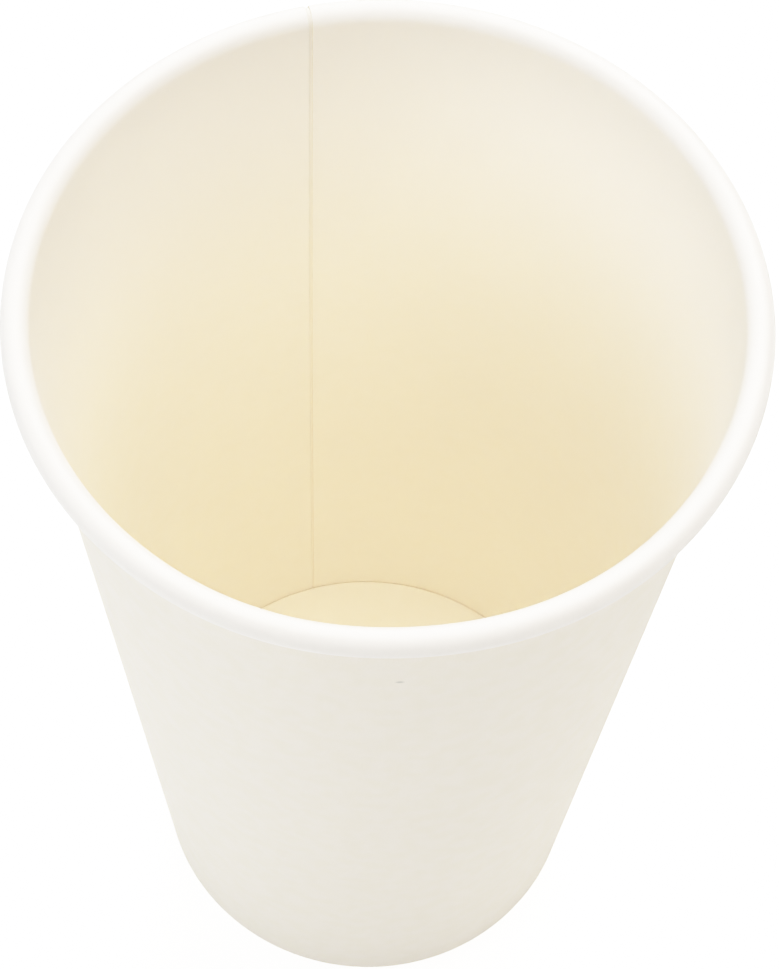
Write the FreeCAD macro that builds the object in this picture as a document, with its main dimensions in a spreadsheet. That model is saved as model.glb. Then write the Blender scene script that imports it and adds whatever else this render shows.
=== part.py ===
import FreeCAD, Part
import math
import os

import Sketcher

# Paper coffee cup, in millimetres: a side wall wrapped from one sheet of coated board, and a
# base disc whose skirt the wall's foot is folded round.
# The origin is the middle of the ring that it stands on, +Z is up and -Y is the near side.

# Driving sizes
SIZES = {
    "rim_diameter": 90.0,  # over the rolled rim
    "foot_diameter": 60.0,  # over the wall, carried down to the surface that it stands on
    "cup_height": 135.0,
    "board": 0.35,  # thickness of the wall's board
    "base_board": 0.35,  # thickness of the base's board
    "roll_diameter": 3.4,  # over the rolled rim's tube
    "tail_turn": 120.0,  # degrees that the roll goes on past its lowest point, into the tube
    "tail_gap": 0.05,  # between the roll's tucked edge and the lapped wall
    "seam_azimuth": 106.4,  # degrees from +X to the inner ply's edge, seen from above
    "lap_width": 8.0,  # the side seam's lap, measured round the rim
    "jog_width": 2.0,  # the run in which the sheet steps out under its own edge, at the rim
    "land_width": 0.25,  # flat ring that the folded foot stands on
    "hem_clearance": 0.4,  # between the hem's upper edge and the base's turned edge
    "base_height": 8.0,  # top of the base disc above the surface that the cup stands on
    "base_turn": 0.6,  # outer radius of the base's turned-down edge
    "skirt_clearance": 0.25,  # between the skirt's lower edge and the fold under it
    "seal_gap": 0.02,  # between the skirt and the board on each side of it
}

# Sizes worked out from them, as expressions
BOARD = "sizes.board"
ROLL = "(sizes.roll_diameter / 2)"
ROLL_X = "((sizes.rim_diameter - sizes.roll_diameter) / 2)"
ROLL_Z = "(sizes.cup_height - sizes.roll_diameter / 2)"
TAIL = f"({ROLL} - 2 * {BOARD} - sizes.tail_gap)"
TAIL_ANGLE = "((270 - sizes.tail_turn) * 1 deg)"
LEAN_RUN = f"({ROLL_X} - sizes.foot_diameter / 2)"
LEAN = (f"(atan({LEAN_RUN} / {ROLL_Z})"
        f" - asin(({ROLL} - {BOARD}) / sqrt({LEAN_RUN} ^ 2 + {ROLL_Z} ^ 2)))")
LAP_ANGLE = "(sizes.lap_width / (sizes.rim_diameter / 2) * 180 deg / pi)"
JOG_ANGLE = "(sizes.jog_width / (sizes.rim_diameter / 2) * 180 deg / pi)"

# The wall's faces and those beside them lean alike: each is placed by its distance from the origin
WALL_OUT = f"(sizes.foot_diameter / 2 * cos({LEAN}))"
WALL_IN = f"({WALL_OUT} - {BOARD})"
SKIRT_OUT = f"({WALL_IN} - sizes.seal_gap)"
SKIRT_IN = f"({SKIRT_OUT} - sizes.base_board)"
HEM_OUT = f"({SKIRT_IN} - sizes.seal_gap)"
HEM_IN = f"({HEM_OUT} - {BOARD})"
FOLD_RADIUS = f"(({WALL_OUT} - {HEM_IN} - sizes.land_width) / 2)"

# Heights above the surface that the cup stands on
FOLD_TOP = f"({BOARD} + {FOLD_RADIUS})"
HEM_TOP = "(sizes.base_height - sizes.base_turn - sizes.hem_clearance)"
SKIRT_FOOT = f"({BOARD} + sizes.skirt_clearance)"

# A sketch's own numbers: the points of a curve, and the two axes
START, END, CENTRE = range(1, 4)
HORIZONTAL_AXIS, VERTICAL_AXIS = range(-1, -3, -1)
ORIGIN = (HORIZONTAL_AXIS, START)


def make_sheet(doc):
    """Puts the driving sizes in the document's sheet, one row and alias each."""
    sheet = doc.addObject("Spreadsheet::Sheet", "sizes")
    for row, (name, size) in enumerate(SIZES.items(), start=1):
        sheet.set(f"A{row}", name)
        sheet.set(f"B{row}", str(size))
        sheet.setAlias(f"B{row}", name)
    doc.recompute()


def value(doc, expression):
    """Gives an expression's number: millimetres, or degrees for an angle."""
    result = doc.getObject("sizes").evalExpression(expression)
    return float(getattr(result, "Value", result))


def origin_plane(body, role):
    """Finds one of the body's own planes or axes."""
    return next(item for item in body.Origin.OriginFeatures if item.Role == role)


def make_body(doc, label):
    """Starts a piece with its name."""
    body = doc.addObject("PartDesign::Body", label)
    body.Label = label
    return body


def upright_sketch(body, name, turn="0 deg"):
    """Starts a sketch in a plane through the cup's axis, turned about it from the XZ plane."""
    sketch = body.newObject("Sketcher::SketchObject", name)
    sketch.AttachmentSupport = (origin_plane(body, "XZ_Plane"), [""])
    sketch.MapMode = "FlatFace"
    sketch.AttachmentOffset = FreeCAD.Placement(
        FreeCAD.Vector(), FreeCAD.Rotation(FreeCAD.Vector(0, 1, 0), 1))
    sketch.setExpression("AttachmentOffset.Rotation.Angle", turn)
    return sketch


def bind(sketch, kind, *items):
    """Adds a constraint whose last item is the expression of its size."""
    number = value(sketch.Document, items[-1])
    if kind == "Angle":
        number = math.radians(number)
    index = sketch.addConstraint(Sketcher.Constraint(kind, *items[:-1], number))
    sketch.setExpression(f"Constraints[{index}]", items[-1])


def tie(sketch, kind, *items):
    """Adds a constraint without a size."""
    sketch.addConstraint(Sketcher.Constraint(kind, *items))


def line(sketch, start, end):
    """Draws a line between two points of the section, each (distance from the axis, height)."""
    return sketch.addGeometry(Part.LineSegment(FreeCAD.Vector(*start, 0), FreeCAD.Vector(*end, 0)))


def arc(sketch, centre, radius, first, last):
    """Draws an arc anticlockwise from the first angle to the last, in degrees."""
    circle = Part.Circle(FreeCAD.Vector(*centre, 0), FreeCAD.Vector(0, 0, 1), radius)
    return sketch.addGeometry(Part.ArcOfCircle(circle, math.radians(first), math.radians(last)))


def leaning_point(doc, face, height):
    """Gives the point at a height on the leaning face that lies so far from the origin."""
    lean = math.radians(value(doc, LEAN))
    return (value(doc, face) / math.cos(lean) + height * math.tan(lean), height)


def ply_section(body, name, depth, turn="0 deg"):
    """Draws the sheet's section from the fold up over the roll to its lowest point.

    The depth is how far it lies outside the wall's inner face, and so inside the roll's surface.
    """
    doc = body.Document
    sketch = upright_sketch(body, name, turn)
    lean, board, roll, sunk = (value(doc, item) for item in (LEAN, BOARD, ROLL, depth))
    centre = (value(doc, ROLL_X), value(doc, ROLL_Z))
    foot = value(doc, FOLD_TOP)
    far = leaning_point(doc, f"{WALL_IN} + {depth} + {BOARD}", foot)
    near = leaning_point(doc, f"{WALL_IN} + {depth}", foot)

    def on_roll(radius):
        angle = math.radians(180 - lean)
        return (centre[0] + radius * math.cos(angle), centre[1] + radius * math.sin(angle))

    inner = line(sketch, near, on_roll(roll - sunk))
    over = arc(sketch, centre, roll - sunk, -90, 180 - lean)
    end = line(sketch, (centre[0], centre[1] - roll + sunk), (centre[0], centre[1] - roll + sunk + board))
    under = arc(sketch, centre, roll - sunk - board, -90, 180 - lean)
    outer = line(sketch, far, on_roll(roll - sunk - board))
    cut = line(sketch, near, far)

    tie(sketch, "Tangent", inner, END, over, END)
    tie(sketch, "Coincident", over, START, end, START)
    tie(sketch, "Coincident", end, END, under, START)
    tie(sketch, "Tangent", under, END, outer, END)
    tie(sketch, "Coincident", outer, START, cut, END)
    tie(sketch, "Coincident", cut, START, inner, START)
    tie(sketch, "Coincident", over, CENTRE, under, CENTRE)
    tie(sketch, "Horizontal", cut)
    tie(sketch, "Vertical", end)
    tie(sketch, "Vertical", over, START, over, CENTRE)
    tie(sketch, "Parallel", inner, outer)
    bind(sketch, "DistanceX", *ORIGIN, over, CENTRE, ROLL_X)
    bind(sketch, "DistanceY", *ORIGIN, over, CENTRE, ROLL_Z)
    bind(sketch, "DistanceY", *ORIGIN, cut, START, FOLD_TOP)
    bind(sketch, "Radius", over, f"{ROLL} - {depth}")
    bind(sketch, "Radius", under, f"{ROLL} - {depth} - {BOARD}")
    bind(sketch, "Angle", inner, f"90 deg - {LEAN}")
    return sketch


def tail_section(body, name):
    """Draws the sheet's edge tucked into the roll, from the roll's lowest point."""
    doc = body.Document
    sketch = upright_sketch(body, name)
    roll, tail, board, first = (value(doc, item) for item in (ROLL, TAIL, BOARD, TAIL_ANGLE))
    centre = (value(doc, ROLL_X), value(doc, ROLL_Z) - roll + tail)
    turn = (math.cos(math.radians(first)), math.sin(math.radians(first)))

    def at(radius):
        return (centre[0] + radius * turn[0], centre[1] + radius * turn[1])

    over = arc(sketch, centre, tail, first, 270)
    under = arc(sketch, centre, tail - board, first, 270)
    edge = line(sketch, at(tail - board), at(tail))
    root = line(sketch, (centre[0], centre[1] - tail), (centre[0], centre[1] - tail + board))

    tie(sketch, "Coincident", over, START, edge, END)
    tie(sketch, "Coincident", under, START, edge, START)
    tie(sketch, "Coincident", over, END, root, START)
    tie(sketch, "Coincident", under, END, root, END)
    tie(sketch, "Coincident", over, CENTRE, under, CENTRE)
    tie(sketch, "Vertical", root)
    tie(sketch, "Vertical", over, END, over, CENTRE)
    tie(sketch, "PointOnObject", over, CENTRE, edge)
    bind(sketch, "DistanceX", *ORIGIN, over, CENTRE, ROLL_X)
    bind(sketch, "DistanceY", *ORIGIN, over, CENTRE, f"{ROLL_Z} - {ROLL} + {TAIL}")
    bind(sketch, "Radius", over, TAIL)
    bind(sketch, "Radius", under, f"{TAIL} - {BOARD}")
    bind(sketch, "Angle", edge, TAIL_ANGLE)
    return sketch


def hem_section(body, name):
    """Draws the fold under the wall and the hem that stands up inside it."""
    doc = body.Document
    sketch = upright_sketch(body, name)
    faces = [WALL_OUT, WALL_IN, HEM_OUT, HEM_IN]
    levels = [FOLD_TOP, BOARD, HEM_TOP, "0"]
    upright, level = [], []
    for place, face in enumerate(faces):
        ends = sorted(value(doc, item) for item in (levels[place - 1], levels[place]))
        upright.append(line(sketch, *(leaning_point(doc, face, height) for height in ends)))
        bind(sketch, "Angle", upright[-1], f"90 deg - {LEAN}")
        bind(sketch, "Distance", *ORIGIN, upright[-1], face)
    for place, height in enumerate(levels):
        pair = (faces[place], faces[(place + 1) % len(faces)])
        level.append(line(sketch, *(leaning_point(doc, face, value(doc, height)) for face in pair)))
        tie(sketch, "Horizontal", level[-1])
        joined = END if height in (FOLD_TOP, HEM_TOP) else START
        tie(sketch, "Coincident", level[-1], START, upright[place], joined)
        tie(sketch, "Coincident", level[-1], END, upright[(place + 1) % len(faces)], joined)
        if height == "0":
            tie(sketch, "PointOnObject", level[-1], START, HORIZONTAL_AXIS)
        else:
            bind(sketch, "DistanceY", *ORIGIN, level[-1], START, height)
    return sketch


def base_section(body, name):
    """Draws half the base disc with its turned edge and its skirt, which leans with the wall."""
    doc = body.Document
    sketch = upright_sketch(body, name)
    top, turn, board, lean = (
        value(doc, item)
        for item in ("sizes.base_height", "sizes.base_turn", "sizes.base_board", LEAN))
    foot = value(doc, SKIRT_FOOT)
    slope = math.radians(lean)
    reach = (value(doc, SKIRT_OUT) - turn + (top - turn) * math.sin(slope)) / math.cos(slope)
    centre = (reach, top - turn)

    def shoulder(radius):
        return (centre[0] + radius * math.cos(slope), centre[1] - radius * math.sin(slope))

    upper = line(sketch, (0, top), (reach, top))
    lower = line(sketch, (0, top - board), (reach, top - board))
    axis = line(sketch, (0, top - board), (0, top))
    over = arc(sketch, centre, turn, -lean, 90)
    under = arc(sketch, centre, turn - board, -lean, 90)
    outer = line(sketch, leaning_point(doc, SKIRT_OUT, foot), shoulder(turn))
    inner = line(sketch, leaning_point(doc, SKIRT_IN, foot), shoulder(turn - board))
    edge = line(sketch, leaning_point(doc, SKIRT_IN, foot), leaning_point(doc, SKIRT_OUT, foot))

    tie(sketch, "Tangent", upper, END, over, END)
    tie(sketch, "Tangent", outer, END, over, START)
    tie(sketch, "Tangent", lower, END, under, END)
    tie(sketch, "Tangent", inner, END, under, START)
    tie(sketch, "Coincident", outer, START, edge, END)
    tie(sketch, "Coincident", inner, START, edge, START)
    tie(sketch, "Coincident", upper, START, axis, END)
    tie(sketch, "Coincident", lower, START, axis, START)
    tie(sketch, "Coincident", over, CENTRE, under, CENTRE)
    tie(sketch, "PointOnObject", axis, START, VERTICAL_AXIS)
    tie(sketch, "Vertical", axis)
    tie(sketch, "Horizontal", upper)
    tie(sketch, "Horizontal", lower)
    tie(sketch, "Horizontal", edge)
    tie(sketch, "Parallel", outer, inner)
    bind(sketch, "Angle", outer, f"90 deg - {LEAN}")
    bind(sketch, "Distance", *ORIGIN, outer, SKIRT_OUT)
    bind(sketch, "DistanceY", *ORIGIN, upper, START, "sizes.base_height")
    bind(sketch, "DistanceY", *ORIGIN, edge, START, SKIRT_FOOT)
    bind(sketch, "Radius", over, "sizes.base_turn")
    bind(sketch, "Radius", under, "sizes.base_turn - sizes.base_board")
    return sketch


def revolve(body, sketch, name, angle="360 deg", clockwise=False):
    """Turns a section about the cup's axis, anticlockwise seen from above unless told."""
    feature = body.newObject("PartDesign::Revolution", name)
    feature.Profile = sketch
    feature.ReferenceAxis = (sketch, ["V_Axis"])
    feature.Reversed = clockwise
    feature.setExpression("Angle", angle)
    body.Document.recompute()
    return feature


def round_fold(body, feature, name):
    """Rounds the two edges of the fold, beside the flat ring that the cup stands on."""
    edges = [f"Edge{number}" for number, edge in enumerate(feature.Shape.Edges, start=1)
             if abs(edge.BoundBox.ZMin) < 1e-6 and edge.BoundBox.ZLength < 1e-6]
    fillet = body.newObject("PartDesign::Fillet", name)
    fillet.Base = (feature, edges)
    fillet.setExpression("Radius", FOLD_RADIUS)
    body.Document.recompute()


def make_side_wall(doc):
    """Wraps the sheet: wall and roll, tucked edge, folded foot, and the lapped side seam."""
    body = make_body(doc, "side_wall")
    single = ply_section(body, "single_ply", "0", JOG_ANGLE)
    outer = ply_section(body, "outer_ply", BOARD)
    revolve(body, single, "wrap", f"360 deg - {JOG_ANGLE}")
    revolve(body, tail_section(body, "tail_section"), "tucked_edge")
    hem = revolve(body, hem_section(body, "hem_section"), "hem")
    round_fold(body, hem, "fold")
    jog = body.newObject("PartDesign::AdditiveLoft", "jog")
    jog.Profile = single
    jog.Sections = [outer]
    jog.Ruled = True
    doc.recompute()
    revolve(body, outer, "lap", LAP_ANGLE, clockwise=True)
    body.Placement = FreeCAD.Placement(
        FreeCAD.Vector(), FreeCAD.Rotation(FreeCAD.Vector(0, 0, 1), SIZES["seam_azimuth"]))
    body.setExpression("Placement.Rotation.Angle", "sizes.seam_azimuth * 1 deg")
    return body


def make_base_disc(doc):
    """Turns the base disc, which the wall's foot holds by its skirt."""
    body = make_body(doc, "base_disc")
    revolve(body, base_section(body, "base_section"), "pressed_disc")
    return body


def check(doc, bodies):
    """Stops if anything in the document failed or a piece isn't one valid solid."""
    for item in doc.Objects:
        if {"Invalid", "Error"} & set(item.State):
            raise RuntimeError(f"{item.Label}: {item.State}")
    for body in bodies:
        if body.Shape.isNull() or not body.Shape.isValid() or len(body.Shape.Solids) != 1:
            raise RuntimeError(f"{body.Label} isn't one valid solid")


def main():
    doc = FreeCAD.newDocument("paper_cup")
    make_sheet(doc)
    bodies = [make_side_wall(doc), make_base_disc(doc)]
    doc.recompute()
    check(doc, bodies)
    os.makedirs("parts", exist_ok=True)
    for body in bodies:
        body.Shape.exportStep(f"parts/{body.Label}.step")
        box = body.Shape.BoundBox
        print(f"{body.Label}: {body.Shape.Volume:.1f} mm3, {len(body.Shape.Faces)} faces, "
              f"x {box.XMin:.2f} to {box.XMax:.2f}, y {box.YMin:.2f} to {box.YMax:.2f}, "
              f"z {box.ZMin:.2f} to {box.ZMax:.2f}")


main()
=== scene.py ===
import math

import bpy
import numpy as np
from mathutils import Matrix, Vector


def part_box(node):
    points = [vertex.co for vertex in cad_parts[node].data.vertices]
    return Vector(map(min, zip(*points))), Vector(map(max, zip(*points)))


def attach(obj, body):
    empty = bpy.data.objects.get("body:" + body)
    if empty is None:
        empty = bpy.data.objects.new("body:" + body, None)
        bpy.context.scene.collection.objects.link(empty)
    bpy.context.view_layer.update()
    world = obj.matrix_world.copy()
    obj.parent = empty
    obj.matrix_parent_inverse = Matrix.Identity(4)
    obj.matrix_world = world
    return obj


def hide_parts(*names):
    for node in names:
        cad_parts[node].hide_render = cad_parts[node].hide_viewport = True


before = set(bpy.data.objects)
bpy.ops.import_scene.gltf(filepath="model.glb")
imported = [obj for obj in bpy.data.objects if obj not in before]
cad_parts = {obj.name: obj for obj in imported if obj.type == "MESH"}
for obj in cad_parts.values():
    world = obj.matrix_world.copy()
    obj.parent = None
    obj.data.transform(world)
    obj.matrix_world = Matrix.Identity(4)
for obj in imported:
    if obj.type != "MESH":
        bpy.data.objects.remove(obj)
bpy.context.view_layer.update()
print("cup: frame loaded")

mm = 0.001  # the shapes below are worked out in millimetres

# what the two pieces share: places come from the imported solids, the rest are the board's own sizes
cup = {
    "rimRadius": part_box("side_wall")[1].x / mm,
    "height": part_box("side_wall")[1].z / mm,
    "baseTop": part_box("base_disc")[1].z / mm,
    "skirtFoot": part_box("base_disc")[0].z / mm,
    "footRadius": 30.0,  # of the wall's outer face, carried down to the floor
    "board": 0.35,
    "rollRadius": 1.7,
    "sealGap": 0.02,
    "baseTurn": 0.45,  # outer radius of the base's turned edge, sharpened by the clamping
    "hemClearance": 0.4,
    "landWidth": 0.25,  # the flat ring that the cup stands on
}

creaseAngle = 38  # degrees between two faces past which their shared edge is shaded sharp

# the wall's lean, and how far each leaning face lies from the origin
rollX = cup["rimRadius"] - cup["rollRadius"]
rollZ = cup["height"] - cup["rollRadius"]
leanRun = rollX - cup["footRadius"]
lean = math.atan(leanRun / rollZ) - math.asin((cup["rollRadius"] - cup["board"]) / math.hypot(leanRun, rollZ))
wallOut = cup["footRadius"] * math.cos(lean)
skirtOut = wallOut - cup["board"] - cup["sealGap"]
hemIn = skirtOut - 2 * cup["board"] - cup["sealGap"]
foldRadius = (wallOut - hemIn - cup["landWidth"]) / 2
foldTop = cup["board"] + foldRadius
hemTop = cup["baseTop"] - cup["baseTurn"] - cup["hemClearance"]


def hexToLinear(code):
    # an sRGB hex colour as linear red, green and blue, with full alpha
    srgb = np.array([int(code[place:place + 2], 16) for place in (0, 2, 4)]) / 255
    linear = np.where(srgb <= 0.04045, srgb / 12.92, ((srgb + 0.055) / 1.055) ** 2.4)
    return (*linear.tolist(), 1.0)


def addNode(tree, kind, values=None, links=None, **settings):
    # one node with its settings, its sockets' values and the sockets that feed it
    node = tree.nodes.new(kind)
    for name, setting in settings.items():
        setattr(node, name, setting)
    for socket, value in (values or {}).items():
        node.inputs[socket].default_value = value
    for socket, source in (links or {}).items():
        tree.links.new(source, node.inputs[socket])
    return node


def newMaterial(name):
    material = bpy.data.materials.new(name)
    material.use_nodes = True
    material.node_tree.nodes.clear()
    return material, material.node_tree


def smoothStep(value):
    # 0 below 0, 1 above 1, and 3t^2 - 2t^3 between them
    t = np.clip(value, 0, 1)
    return t * t * (3 - 2 * t)


def leaningR(face, height):
    # distance from the axis, at a height, of the leaning face that lies so far from the origin
    return (face + height * math.sin(lean)) / math.cos(lean)


def meshPiece(name, points, faces, kinds, materials, crease):
    # a mesh of points in millimetres, smooth but for the edges that turn by more than the crease angle
    used, renumbered = np.unique(np.concatenate([np.ravel(part) for part in faces]), return_inverse=True)
    ends = np.cumsum([part.size for part in faces])[:-1]
    parts = [numbers.reshape(part.shape) for numbers, part in zip(np.split(renumbered, ends), faces)]
    mesh = bpy.data.meshes.new(name)
    mesh.from_pydata((points[used] * mm).tolist(), [], [face for part in parts for face in part.tolist()])
    for material in materials:
        mesh.materials.append(material)
    mesh.polygons.foreach_set("material_index", np.concatenate(kinds).astype(np.int32))
    mesh.shade_smooth()
    mesh.set_sharp_from_angle(angle=math.radians(crease))
    mesh.update()
    piece = bpy.data.objects.new(name, mesh)
    bpy.context.scene.collection.objects.link(piece)
    return piece


# Materials

# Film-coated bleached board: a satin cream-white face, even and closed, with the board's fibres just
# showing through the film. Light that bounces about inside the cup turns it warm in the depth. The rim
# and the band below it are painted whiter by height: painted light, standing in for the direct light
# that falls on the top of the inside.
coatedFace = {
    "white": "FDFAF2",
    "cloud": "FCF9F0",
    # painted light: the whiter colour given to the rim and the upper inside
    "paintedLightWhite": "FEFCF8",
    "paintedLightHeights": (75.0, 122.0),  # mm above the floor, from where the painted light fades in to where it is full
    "cloudSize": 3.0,  # mm, the cloudy look of the pulp seen through the film
    "fibreSize": 0.45,  # mm, drawn coarser than a real 0.03 mm fibre so that it shows
    "relief": 0.006,  # mm
    "roughness": 0.42,
}

# Uncoated bleached board, calendered: a matt white face with a soft paper tooth.
mattFace = {
    "white": "FAF6ED",
    "cloud": "F9F5EA",
    "cloudSize": 2.5,
    "fibreSize": 0.35,
    "relief": 0.012,
    "roughness": 0.72,
    "speckPlace": (3.3, -40.4, 118.0),  # mm, a pale fleck in the pulp on the near side
    "speckSize": (0.55, 1.0, 0.3),
    "speckColour": "DDDCD3",
}

# Die-cut board edge: the pulp laid bare, rough and slightly duller than the faces.
cutEdge = {
    "white": "F4EFDF",
    "cloud": "EFE8D4",
    "cloudSize": 0.6,
    "fibreSize": 0.12,
    "relief": 0.02,
    "roughness": 0.9,
}


def boardMaterial(name, look):
    # pulp clouds in the colour and gloss, and fibres as fine relief: both are noise in the cup's own space
    material, tree = newMaterial(name)
    place = addNode(tree, "ShaderNodeTexCoord").outputs["Object"]
    clouds = addNode(
        tree, "ShaderNodeTexNoise", {"Scale": 1 / (look["cloudSize"] * mm), "Detail": 1.0},
        {"Vector": place})
    longWays = addNode(tree, "ShaderNodeMapping", {"Scale": (1.0, 1.0, 0.45)}, {"Vector": place})
    fibres = addNode(
        tree, "ShaderNodeTexNoise",
        {"Scale": 1 / (look["fibreSize"] * mm), "Detail": 0.0},
        {"Vector": longWays.outputs["Vector"]})
    share = addNode(
        tree, "ShaderNodeMapRange", {"From Min": 0.35, "From Max": 0.65}, {"Value": clouds.outputs["Fac"]})
    colour = addNode(
        tree, "ShaderNodeMix", {"A": hexToLinear(look["white"]), "B": hexToLinear(look["cloud"])},
        {"Factor": share.outputs["Result"]}, data_type="RGBA")
    paint = colour.outputs["Result"]
    # painted light: the face is mixed towards a whiter colour with height, lightening the upper inside and
    # the rim
    if "paintedLightWhite" in look:
        low, high = look["paintedLightHeights"]
        height = addNode(tree, "ShaderNodeSeparateXYZ", {}, {"Vector": place}).outputs["Z"]
        paintedLightShare = addNode(
            tree, "ShaderNodeMapRange", {"From Min": low * mm, "From Max": high * mm}, {"Value": height},
            interpolation_type="SMOOTHSTEP")
        paint = addNode(
            tree, "ShaderNodeMix", {"B": hexToLinear(look["paintedLightWhite"])},
            {"Factor": paintedLightShare.outputs["Result"], "A": paint}, data_type="RGBA").outputs["Result"]
    if "speckPlace" in look:
        inverse = [1 / (size * mm) for size in look["speckSize"]]
        centred = [-where * scale * mm for where, scale in zip(look["speckPlace"], inverse)]
        speckSpace = addNode(
            tree, "ShaderNodeMapping", {"Location": centred, "Scale": inverse}, {"Vector": place})
        away = addNode(
            tree, "ShaderNodeVectorMath", {}, {0: speckSpace.outputs["Vector"]}, operation="LENGTH")
        speck = addNode(
            tree, "ShaderNodeMapRange", {"From Min": 1.2, "From Max": 0.5}, {"Value": away.outputs["Value"]})
        paint = addNode(
            tree, "ShaderNodeMix", {"B": hexToLinear(look["speckColour"])},
            {"Factor": speck.outputs["Result"], "A": paint}, data_type="RGBA").outputs["Result"]
    smoother, rougher = look["roughness"] - 0.05, look["roughness"] + 0.05
    gloss = addNode(
        tree, "ShaderNodeMapRange", {"From Min": 0.3, "From Max": 0.7, "To Min": smoother, "To Max": rougher},
        {"Value": clouds.outputs["Fac"]})
    relief = addNode(
        tree, "ShaderNodeBump", {"Strength": 1.0, "Distance": look["relief"] * mm},
        {"Height": fibres.outputs["Fac"]})
    shader = addNode(
        tree, "ShaderNodeBsdfPrincipled", {"IOR": 1.5},
        {"Base Color": paint, "Roughness": gloss.outputs["Result"], "Normal": relief.outputs["Normal"]})
    addNode(tree, "ShaderNodeOutputMaterial", {}, {"Surface": shader.outputs["BSDF"]})
    return material


coatedBoard = boardMaterial("filmCoatedBoard", coatedFace)
mattBoard = boardMaterial("calenderedBoard", mattFace)
boardEdge = boardMaterial("dieCutBoardEdge", cutEdge)
boardFaces = [coatedBoard, mattBoard, boardEdge]
print("cup: materials made")


# Side wall: one sheet with a rolled top edge, a lapped seam and a folded foot

sideWall = {
    "seamAzimuth": 105.0,  # degrees from +X to the inner ply's cut edge, at the rim
    "seamSkew": 3.4,  # degrees that the edge has turned further by the time it reaches the foot
    "lapWidth": 8.0,  # mm round the rim
    "jogWidth": 0.6,  # mm round the rim in which the sheet steps out under its own edge
    "channelWidth": 0.26,  # mm left open beside the edge, which shows as the seam's dark line
    "pressed": (0.8, 0.4),  # each ply's thickness in the pressed seam, as a share of the board's: rim, foot
    "edgeThinned": 0.25,  # how much of the inner ply's edge the sealing bar has squeezed away
    "thinnedWidth": 0.7,  # mm
    "contactGap": 0.01,  # mm between the two plies of the lap
    "tailTurn": 120.0,  # degrees that the edge goes on past the roll's lowest point
    "tailGap": 0.05,
    "buttGap": 0.12,  # degrees left open where the fold's two ends meet
    "edgeRounding": 0.05,
    "ridges": 80,  # pressed into the folded foot, round its inner face
    "ridgeDepth": 0.09,
    "ridgeMargins": (1.0, 0.3),  # mm left smooth above the floor and below the hem's edge
    "ridgeFades": (0.6, 0.5),  # mm over which they come in and go out
    "stepFade": 0.9,  # mm above the fold over which the seam's step comes in
    "waviness": 0.04,  # mm by which the wrapped sheet strays from a true round
    "dent": 0.45,  # mm by which the near rim has been pressed in
    "dentAzimuth": -84.0,
    "dentSpread": 15.0,  # degrees
    "columns": 400,
    "rowCounts": {"tail": 12, "roll": 36, "fold": 7, "hem": 15},
}


def arcRows(centre, radius, first, last, count):
    # points of an arc, and the unit vectors from its centre, from the first angle to the last in degrees
    angle = np.radians(np.linspace(first, last, count))
    away = np.stack([np.cos(angle), np.sin(angle)], axis=1)
    return np.array(centre) + radius * away, away


def sheetPath():
    # The sheet's middle line in the plane through the axis, from its tucked edge over the roll and down
    # the wall, round the fold and up the hem, with unit normals towards the coated face. Lift says how
    # much of the seam's step each row takes, and ridge how much of the foot's pressing.
    half = cup["board"] / 2
    leanDegrees = math.degrees(lean)
    tail = cup["rollRadius"] - 2 * cup["board"] - sideWall["tailGap"]
    tailCentre = (rollX, rollZ - cup["rollRadius"] + tail)
    foldCentreOut = (leaningR(wallOut - foldRadius, foldRadius), foldRadius)
    foldCentreIn = (leaningR(hemIn + foldRadius, foldRadius), foldRadius)
    inward = np.array([-math.cos(lean), math.sin(lean)])
    count = sideWall["rowCounts"]

    tailRows, tailNormals = arcRows(tailCentre, tail - half, 270 - sideWall["tailTurn"], 270, count["tail"])
    rollRows, rollNormals = arcRows(
        (rollX, rollZ), cup["rollRadius"] - half, -90, 180 - leanDegrees, count["roll"])
    outRows, outAway = arcRows(foldCentreOut, foldRadius - half, -leanDegrees, -90, count["fold"])
    inRows, inAway = arcRows(foldCentreIn, foldRadius - half, -90, -180 - leanDegrees, count["fold"])

    wallTop, wallFoot = rollRows[-1], outRows[0]
    down = np.concatenate([
        np.linspace(0, 0.02, 6), np.linspace(0.02, 0.98, 26)[1:], np.linspace(0.98, 1, 7)[1:]])
    wallRows = wallTop + down[1:-1, None] * (wallFoot - wallTop)
    hemTopPoint = np.array([leaningR(hemIn + half, hemTop), hemTop])
    up = np.linspace(0, 1, count["hem"])[1:, None]
    hemRows = inRows[-1] + up * (hemTopPoint - inRows[-1])

    rows = np.concatenate([tailRows[:-1], rollRows, wallRows, outRows, inRows, hemRows])
    normals = np.concatenate([
        tailNormals[:-1], rollNormals, np.tile(inward, (len(wallRows), 1)), -outAway, -inAway,
        np.tile(-inward, (len(hemRows), 1))])

    # the sheet's two cut edges are eased: one more row beyond each, between slightly closer faces
    ease = sideWall["edgeRounding"]
    along = np.array([[normals[0, 1], -normals[0, 0]], [-normals[-1, 1], normals[-1, 0]]])
    rows = np.concatenate([rows[:1] + ease * along[:1], rows, rows[-1:] + ease * along[1:]])
    normals = np.concatenate([normals[:1], normals, normals[-1:]])
    spread = np.ones(len(rows))
    spread[[0, -1]] = 1 - ease / half

    rollStart, rollEnd = len(tailRows), len(tailRows) + len(rollRows)
    wallEnd = rollEnd + len(wallRows)
    lift = np.zeros(len(rows))
    lift[rollStart:rollEnd] = smoothStep(np.arange(len(rollRows)) / 6)
    lift[rollEnd:wallEnd] = smoothStep((rows[rollEnd:wallEnd, 1] - foldTop) / sideWall["stepFade"])
    ridge = np.zeros(len(rows))
    hemStart = len(rows) - len(hemRows) - 1
    hemHeights = rows[hemStart:-1, 1]
    lowMargin, topMargin = sideWall["ridgeMargins"]
    lowFade, topFade = sideWall["ridgeFades"]
    comesIn = smoothStep((hemHeights - lowMargin) / lowFade)
    ridge[hemStart:-1] = comesIn * smoothStep((hemTop - topMargin - hemHeights) / topFade)
    return rows, normals, spread, lift, ridge


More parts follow.
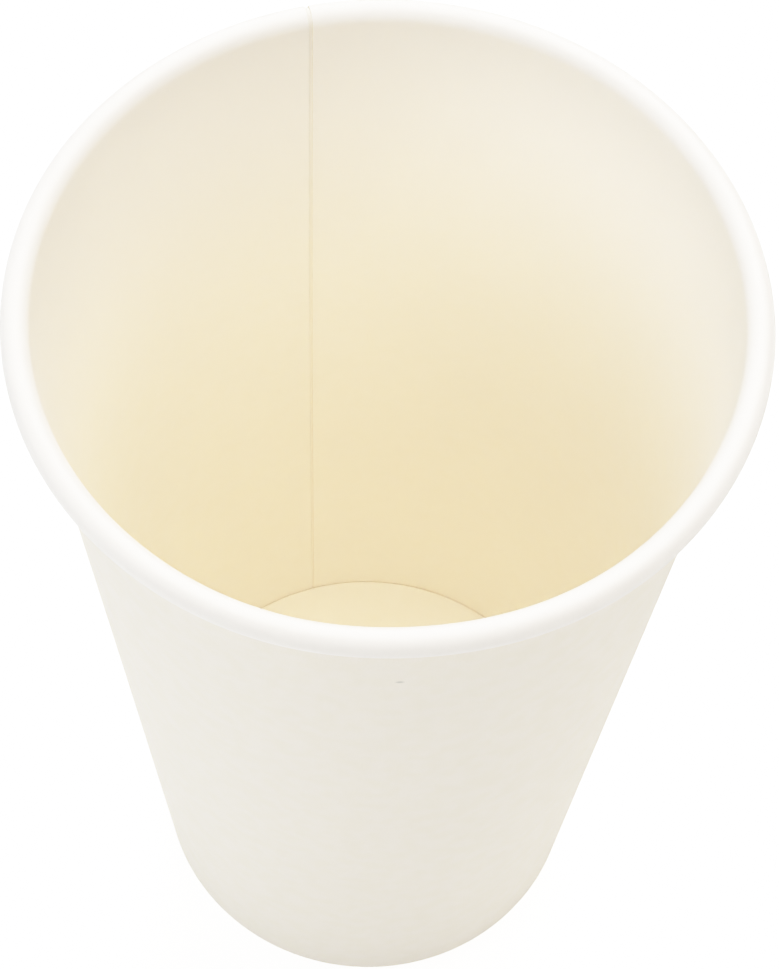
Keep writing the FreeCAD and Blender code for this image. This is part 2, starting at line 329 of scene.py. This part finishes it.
def makeSideWall():
    # Every row of the path is carried clockwise round the axis from the inner ply's edge: at a turn a the
    # point is row + normal * offset, at the azimuth seam + skew - a, where the skew grows evenly towards the
    # foot. The offsets are half the board each way, less the seam's pressing, which is harder at the foot.
    # The last turns step out under the first and run on as the outer ply. Waves and one shallow dent in the
    # rim are added to the radius.
    rows, normals, spread, lift, ridge = sheetPath()
    board = cup["board"]
    rimShare, footShare = sideWall["pressed"]
    pressed = board * (footShare + (rimShare - footShare) * rows[:, 1] / cup["height"])
    contact = sideWall["contactGap"]
    perMm = math.degrees(1 / cup["rimRadius"])
    lapTurn, jogTurn = sideWall["lapWidth"] * perMm, sideWall["jogWidth"] * perMm
    thinTurn, channelTurn = sideWall["thinnedWidth"] * perMm, sideWall["channelWidth"] * perMm

    # the columns stand closer at the thinned edge, at the step and at the lap's far edge
    firstTurns = thinTurn * np.array([0, 0.06, 0.2, 0.5, 1.0, 1.8, 3.0])
    evenTurns = np.linspace(0, 360, sideWall["columns"] + 1)
    evenTurns = evenTurns[(evenTurns > firstTurns[-1] + 0.4) & (evenTurns < 360 - jogTurn - 1.0)]
    jogShare = np.linspace(1.3, 0, 14)  # from just before the step to the channel
    jogTurns = np.append(360 - channelTurn - (jogTurn - channelTurn) * jogShare, 360)
    lapTurns = 360 + lapTurn * np.array([0.1, 0.3, 0.5, 0.7, 0.85, 0.93, 0.97, 0.99, 1.0])
    turns = np.concatenate([firstTurns, evenTurns, jogTurns, lapTurns])
    seamColumn = len(turns) - len(lapTurns) - 1

    stepOut = smoothStep((turns - (360 - jogTurn)) / (jogTurn - channelTurn))[:, None]
    edgeEase = 1 - np.clip(turns / thinTurn, 0, 1)[:, None] ** 0.5
    coatedShift = -stepOut * (pressed + contact) - edgeEase * sideWall["edgeThinned"] * pressed
    underLap = 1 - smoothStep((turns - lapTurn) / thinTurn)[:, None]
    outerEase = smoothStep((turns - 360 - 0.9 * lapTurn) / (0.1 * lapTurn))[:, None]
    mattShift = (
        underLap * (board - pressed) - stepOut * (2 * pressed - board + contact)
        + outerEase * 0.3 * pressed)

    radians = np.radians(turns)[:, None]
    ridges = ridge * sideWall["ridgeDepth"] * (0.5 - 0.5 * np.cos(sideWall["ridges"] * radians))
    # two, three and seven waves round the cup, of which the last two drift as they go down
    wave = sideWall["waviness"] * smoothStep(rows[:, 1] / cup["height"]) * (
        np.sin(2 * radians + 0.7) + 0.5 * np.sin(3 * radians + rows[:, 1] / 30 + 2.0)
        + 0.3 * np.sin(7 * radians + rows[:, 1] / 17))
    fromDent = (sideWall["seamAzimuth"] - turns - sideWall["dentAzimuth"] + 180) % 360 - 180
    pressedIn = np.exp(-0.5 * (fromDent / sideWall["dentSpread"]) ** 2)[:, None]
    wave = wave - sideWall["dent"] * pressedIn * (rows[:, 1] / cup["height"]) ** 3
    pastSeam = (np.arange(len(turns)) >= seamColumn)[:, None]
    turned = turns[:, None] - sideWall["buttGap"] * (1 - lift) * pastSeam

    coated = board / 2 * spread + lift * coatedShift
    matt = -board / 2 * spread + lift * mattShift + ridges
    offsets = np.concatenate([coated, matt[:, ::-1]], axis=1)
    around = np.concatenate([np.arange(len(rows)), np.arange(len(rows))[::-1]])
    radius = rows[around, 0] + normals[around, 0] * offsets + wave[:, around]
    height = rows[around, 1] + normals[around, 1] * offsets
    skew = sideWall["seamSkew"] * (1 - height / cup["height"])
    azimuth = np.radians(sideWall["seamAzimuth"] + skew - turned[:, around])
    points = np.stack([radius * np.cos(azimuth), radius * np.sin(azimuth), height], axis=-1).reshape(-1, 3)

    # faces: strips between neighbouring columns, then the cut edges that close them
    loop = len(around)
    last = len(rows) - 1
    lapRows = np.flatnonzero(lift > 0.999)
    lapFirst, lapLast = lapRows[0], lapRows[-1]

    def strips(columns, starts, ends):
        first = np.array(columns)[:, None] * loop
        quads = np.stack([first + starts, first + ends, first + loop + ends, first + loop + starts], axis=-1)
        return quads.reshape(-1, 4)

    def rungs(column, rowNumbers, outwards):
        first = column * loop
        quads = np.stack([
            first + rowNumbers, first + rowNumbers + 1,
            first + loop - 2 - rowNumbers, first + loop - 1 - rowNumbers], axis=-1)
        return quads if outwards else quads[:, ::-1]

    every = np.arange(loop)
    coatedLap = np.arange(lapFirst, lapLast)
    mattLap = loop - 1 - coatedLap
    lapColumns = np.arange(seamColumn, len(turns) - 1)
    faces = [
        strips(np.arange(seamColumn), every, (every + 1) % loop),
        strips(lapColumns, coatedLap, coatedLap + 1),
        strips(lapColumns, mattLap - 1, mattLap),
        strips(lapColumns, np.array([lapLast]), np.array([loop - 1 - lapLast])),
        strips(lapColumns, np.array([loop - 1 - lapFirst]), np.array([lapFirst])),
        rungs(0, np.arange(last), False),
        rungs(seamColumn, np.concatenate([np.arange(lapFirst), np.arange(lapLast, last)]), True),
        rungs(len(turns) - 1, coatedLap, True),
    ]
    sheetKinds = np.where(every < last, 0, np.where(every == last, 2, 1))
    sheetKinds[[0, last - 1, last, last + 1, loop - 2, loop - 1]] = 2
    kinds = [
        np.tile(sheetKinds, seamColumn), np.zeros(len(faces[1])), np.ones(len(faces[2])),
        *(np.full(len(part), 2) for part in faces[3:])]
    return meshPiece("sideWall", points, faces, kinds, boardFaces, creaseAngle)


wallPiece = makeSideWall()
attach(wallPiece, "root")
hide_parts("side_wall")
print("cup: side wall made,", len(wallPiece.data.polygons), "faces")


# Base disc: pressed from flat board, its edge turned down into the skirt that the fold holds

baseDisc = {
    "sag": 0.25,  # mm by which the middle hangs below the edge
    "edgeRounding": 0.05,
    "columns": 288,
}


def makeBaseDisc():
    # The disc's closed section is turned about the axis: the top from the middle out, round the turned
    # edge, down the skirt, back up inside it and in under the disc. The middle sags as 1 - (r / edge)^2.
    board, turn = cup["board"], cup["baseTurn"]
    leanDegrees = math.degrees(lean)
    edgeCentre = (leaningR(skirtOut - turn, cup["baseTop"] - turn), cup["baseTop"] - turn)
    reach = edgeCentre[0]
    share = np.concatenate([np.linspace(0, 0.9, 16), np.linspace(0.9, 1, 6)[1:]])
    sag = baseDisc["sag"] * (1 - share ** 2)
    top = np.stack([share * reach, cup["baseTop"] - sag], axis=1)
    under = np.stack([share * reach, cup["baseTop"] - board - sag], axis=1)
    outerTurn = arcRows(edgeCentre, turn, 90, -leanDegrees, 10)[0]
    innerTurn = arcRows(edgeCentre, turn - board, 90, -leanDegrees, 8)[0]
    ease = baseDisc["edgeRounding"]
    foot = cup["skirtFoot"]
    heights = np.linspace(outerTurn[-1, 1], foot + ease, 12)[1:]
    outerSkirt = np.stack([leaningR(skirtOut, heights), heights], axis=1)
    innerSkirt = np.stack([leaningR(skirtOut - board, heights), heights], axis=1)
    footEdge = np.array([
        [leaningR(skirtOut - ease, foot), foot],
        [leaningR(skirtOut - board + ease, foot), foot]])
    section = np.concatenate([
        top[:-1], outerTurn, outerSkirt, footEdge, innerSkirt[::-1], innerTurn[::-1], under[:-1][::-1]])

    rings = section[1:-1]
    columns = baseDisc["columns"]
    angle = np.arange(columns) * 2 * np.pi / columns
    ringPoints = np.stack([
        np.outer(np.cos(angle), rings[:, 0]), np.outer(np.sin(angle), rings[:, 0]),
        np.tile(rings[:, 1], (columns, 1))], axis=-1).reshape(-1, 3)
    poles = np.array([[0, 0, section[0, 1]], [0, 0, section[-1, 1]]])
    points = np.concatenate([ringPoints, poles])

    count = len(rings)
    here = np.arange(columns)[:, None] * count
    there = np.roll(here, -1, axis=0)
    row = np.arange(count - 1)
    quads = np.stack([here + row, here + row + 1, there + row + 1, there + row], axis=-1).reshape(-1, 4)
    topPole, underPole = len(ringPoints), len(ringPoints) + 1
    here, there = here.ravel(), there.ravel()
    topFan = np.stack([np.full(columns, topPole), here, there], axis=1)
    underFan = np.stack([np.full(columns, underPole), there + count - 1, here + count - 1], axis=1)

    edgeStart = len(top) + len(outerTurn) + len(outerSkirt) - 3
    rowKinds = np.where(row < edgeStart, 0, np.where(row < edgeStart + 3, 2, 1))
    kinds = [np.tile(rowKinds, columns), np.zeros(columns), np.ones(columns)]
    return meshPiece("baseDisc", points, [quads, topFan, underFan], kinds, boardFaces, creaseAngle)


basePiece = makeBaseDisc()
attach(basePiece, "root")
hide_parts("base_disc")
print("cup: base disc made,", len(basePiece.data.polygons), "faces")


# Studio: white floor, soft light and the camera

studio = {
    "floorSize": 8.0,  # m
    "floorColour": "FAFAFA",
    "floorGlow": 0.14,  # the floor is a lit table
    "seenGlow": 0.5,  # and the camera sees it brighter, as a plain white ground
    "backdropGlow": 1.45,  # what the camera sees past the floor
    "boxDistance": 1.6,  # m from the rim to each soft box
    "boxSize": 1.2,
}

# each soft box: azimuth and elevation in degrees, power in watts, colour
softBoxes = {
    "overheadBox": (90, 84, 9.7, "FFFBF7"),
    "backBox": (90, 30, 10.9, "FFFFFF"),
    "backLeftBox": (148, 32, 3.6, "FDFEFF"),
    "leftBox": (200, 30, 7.1, "FAFCFF"),
    "lowLeftBox": (180, 12, 1.3, "E0EEFF"),
    "backRightBox": (35, 52, 7.4, "FFFCF8"),
    "rightBox": (0, 20, 3.7, "FFFFFD"),
    "frontBox": (-60, 52, 5.4, "FFF7EE"),
    "nearBox": (-100, 30, 5.0, "FFFFFF"),
}


def makeFloor():
    half = studio["floorSize"] / 2
    mesh = bpy.data.meshes.new("floor")
    corners = [(-half, -half, 0), (half, -half, 0), (half, half, 0), (-half, half, 0)]
    mesh.from_pydata(corners, [], [(0, 1, 2, 3)])
    material, tree = newMaterial("litTableFloor")
    glow = addNode(
        tree, "ShaderNodeMapRange", {"To Min": studio["floorGlow"], "To Max": studio["seenGlow"]},
        {"Value": addNode(tree, "ShaderNodeLightPath").outputs["Is Camera Ray"]})
    shader = addNode(
        tree, "ShaderNodeBsdfPrincipled",
        {"Base Color": hexToLinear(studio["floorColour"]), "Roughness": 0.9,
         "Emission Color": hexToLinear("FFFFFF")}, {"Emission Strength": glow.outputs["Result"]})
    addNode(tree, "ShaderNodeOutputMaterial", {}, {"Surface": shader.outputs["BSDF"]})
    mesh.materials.append(material)
    floor = bpy.data.objects.new("floor", mesh)
    bpy.context.scene.collection.objects.link(floor)


def makeLights():
    world = bpy.data.worlds.new("studioWorld")
    world.use_nodes = True
    tree = world.node_tree
    tree.nodes.clear()
    glow = addNode(
        tree, "ShaderNodeMapRange", {"To Min": 0.0, "To Max": studio["backdropGlow"]},
        {"Value": addNode(tree, "ShaderNodeLightPath").outputs["Is Camera Ray"]})
    backdrop = addNode(
        tree, "ShaderNodeBackground", {"Color": hexToLinear(studio["floorColour"])},
        {"Strength": glow.outputs["Result"]})
    addNode(tree, "ShaderNodeOutputWorld", {}, {"Surface": backdrop.outputs["Background"]})
    bpy.context.scene.world = world
    aim = Vector((0, 0, cup["height"] * mm))
    for name, (azimuth, elevation, power, colour) in softBoxes.items():
        turn, rise = math.radians(azimuth), math.radians(elevation)
        away = Vector((math.cos(turn) * math.cos(rise), math.sin(turn) * math.cos(rise), math.sin(rise)))
        light = bpy.data.lights.new(name, "AREA")
        light.shape = "DISK"
        light.size = studio["boxSize"]
        light.energy = power
        light.color = hexToLinear(colour)[:3]
        lamp = bpy.data.objects.new(name, light)
        lamp.location = aim + away * studio["boxDistance"]
        lamp.rotation_euler = away.to_track_quat("Z", "Y").to_euler()
        lamp.visible_camera = False
        bpy.context.scene.collection.objects.link(lamp)


# the view that was fitted to the photograph's outlines, in its own 779 by 969 pixels
photoView = {
    "imageWidth": 779,
    "imageHeight": 969,
    "axisPixel": (356.1, 482.3),  # where the lens points
    "focalPixels": 3196.4,
    "place": (0.0, -199.4, 446.7),  # mm
    "yaw": -0.883,  # degrees, to the right
    "pitch": -60.61,  # upwards
    "roll": 1.91,
    "sensor": 36.0,  # mm, along the picture's long side
}


def makeCamera():
    view = photoView
    yaw, pitch, roll = (math.radians(view[name]) for name in ("yaw", "pitch", "roll"))
    forward = Vector((math.sin(yaw) * math.cos(pitch), math.cos(yaw) * math.cos(pitch), math.sin(pitch)))
    level = Vector((math.cos(yaw), -math.sin(yaw), 0))
    above = level.cross(forward)
    right = math.cos(roll) * level + math.sin(roll) * above
    up = math.cos(roll) * above - math.sin(roll) * level
    data = bpy.data.cameras.new("photoCamera")
    data.sensor_width = view["sensor"]
    data.lens = view["focalPixels"] / view["imageHeight"] * view["sensor"]
    data.shift_x = (view["imageWidth"] / 2 - view["axisPixel"][0]) / view["imageHeight"]
    data.shift_y = (view["axisPixel"][1] - view["imageHeight"] / 2) / view["imageHeight"]
    data.clip_start = 0.01
    camera = bpy.data.objects.new("photoCamera", data)
    turn = Matrix((right, up, -forward)).transposed()
    camera.matrix_world = Matrix.Translation(Vector(view["place"]) * mm) @ turn.to_4x4()
    bpy.context.scene.collection.objects.link(camera)
    bpy.context.scene.camera = camera


# how the picture is exposed: white paper in a white cup needs its highlights rolled off softly
tone = {
    "straightTo": 0.7,  # linear light below this is shown as it is
    "whiteAt": 1.45,  # linear light that is shown as pure white
    "bounces": 28,  # light goes from wall to wall many times inside the cup
}


def setTone():
    # above the straight part the curve is a + (1 - a)(1 - (1 - t)^p), t from 0 to 1 up to the white point,
    # with p chosen so that the slope goes on unbroken
    scene = bpy.context.scene
    straight, white = tone["straightTo"], tone["whiteAt"]
    power = (white - straight) / (1 - straight)
    t = np.array([0.12, 0.25, 0.4, 0.55, 0.75, 1.0])
    light = straight + t * (white - straight)
    shown = straight + (1 - straight) * (1 - (1 - t) ** power)
    scene.view_settings.view_transform = "Standard"
    scene.view_settings.use_curve_mapping = True
    mapping = scene.view_settings.curve_mapping
    mapping.white_level = (white, white, white)
    curve = mapping.curves[3]
    curve.points[0].location = (0, 0)
    curve.points[1].location = (1, 1)
    curve.points.new(straight / white / 2, straight / 2)
    curve.points.new(straight / white, straight)
    for x, y in zip(light[:-1] / white, shown[:-1]):
        curve.points.new(x, y)
    mapping.update()
    scene.cycles.max_bounces = tone["bounces"]
    scene.cycles.diffuse_bounces = tone["bounces"]


makeFloor()
makeLights()
makeCamera()
setTone()
print("cup: studio made")

bpy.context.view_layer.update()
